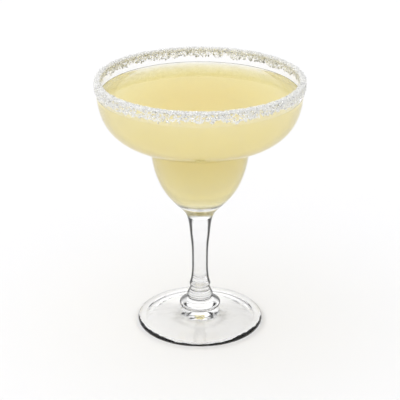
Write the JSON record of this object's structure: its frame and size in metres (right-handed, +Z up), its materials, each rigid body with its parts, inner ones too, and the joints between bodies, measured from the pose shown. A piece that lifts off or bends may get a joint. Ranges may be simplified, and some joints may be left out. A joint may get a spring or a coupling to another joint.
{
  "type": "margarita cocktail in a salt-rimmed stemmed glass",
  "caption": "Pale cloudy cocktail in a clear stepped-bowl stemmed glass with a salted rim, standing on a round foot.",
  "frame": {"origin": "on the glass's own axis, at the level of the ring that the foot stands on", "axes": "+Z up along the axis of the glass; X and Y are alike, as the glass is round"},
  "size_m": [0.1136, 0.1136, 0.144],
  "materials": {
    "glass": "clear polished blown glass",
    "drink": "cloudy pale yellow liquid",
    "salt": "coarse white crystals"
  },
  "bodies": {
    "root": {"glass": "glass", "drink": "drink", "salt_rim": "salt"}
  },
  "joints": []
}
